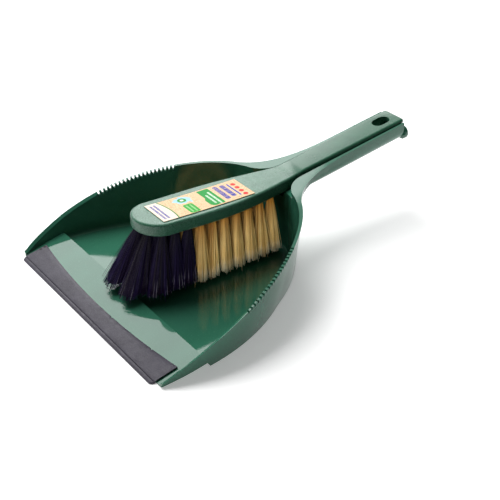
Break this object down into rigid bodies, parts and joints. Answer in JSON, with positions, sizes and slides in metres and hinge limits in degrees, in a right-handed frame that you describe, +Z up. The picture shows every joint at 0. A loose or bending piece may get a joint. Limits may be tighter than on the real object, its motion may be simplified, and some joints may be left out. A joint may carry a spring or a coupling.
{
  "type": "dust pan and brush set",
  "caption": "Open-fronted dust pan with a ramped mouth, a soft lip and a hollow channel handle, with a hand brush nested over its floor and in its handle.",
  "frame": {"origin": "centre of the set's bounding box in plan, on the surface that it stands on", "axes": "+X across the pan, +Y from the mouth to the handle's end, +Z up"},
  "size_m": [0.228, 0.327, 0.0829],
  "materials": {
    "pan_plastic": "moulded green polypropylene, fairly glossy, fine moulding texture",
    "brush_plastic": "moulded green polypropylene with a fine satin grain",
    "lip_rubber": "soft grey-purple strip, matte",
    "label_card": null,
    "dark_bristle": "near-black crimped bristles, satin",
    "pale_bristle": "straw-coloured bristles with paler flagged tips, satin"
  },
  "bodies": {
    "pan": {"pan_body": "pan_plastic", "lip_strip": "lip_rubber"},
    "brush": {"brush_body": "brush_plastic", "label": "label_card", "tuft_dark_01": "dark_bristle", "tuft_dark_02": "dark_bristle", "tuft_dark_03": "dark_bristle", "tuft_dark_04": "dark_bristle", "tuft_dark_05": "dark_bristle", "tuft_dark_06": "dark_bristle", "tuft_dark_07": "dark_bristle", "tuft_dark_08": "dark_bristle", "tuft_pale_09": "pale_bristle", "tuft_pale_10": "pale_bristle", "tuft_pale_11": "pale_bristle", "tuft_pale_12": "pale_bristle", "tuft_pale_13": "pale_bristle", "tuft_pale_14": "pale_bristle", "tuft_pale_15": "pale_bristle", "tuft_pale_16": "pale_bristle", "tuft_pale_17": "pale_bristle", "tuft_pale_18": "pale_bristle", "tuft_pale_19": "pale_bristle", "tuft_pale_20": "pale_bristle", "tuft_pale_21": "pale_bristle", "tuft_pale_22": "pale_bristle", "tuft_dark_23": "dark_bristle", "tuft_dark_24": "dark_bristle", "tuft_pale_25": "pale_bristle", "tuft_pale_26": "pale_bristle", "tuft_pale_27": "pale_bristle", "tuft_pale_28": "pale_bristle", "tuft_pale_29": "pale_bristle", "tuft_pale_30": "pale_bristle", "tuft_pale_31": "pale_bristle"}
  },
  "joints": [
    {"name": "brush_lift", "type": "slide", "parent": "pan", "child": "brush", "axis": [0, 0, 1], "range_m": [0, 0.15]}
  ]
}
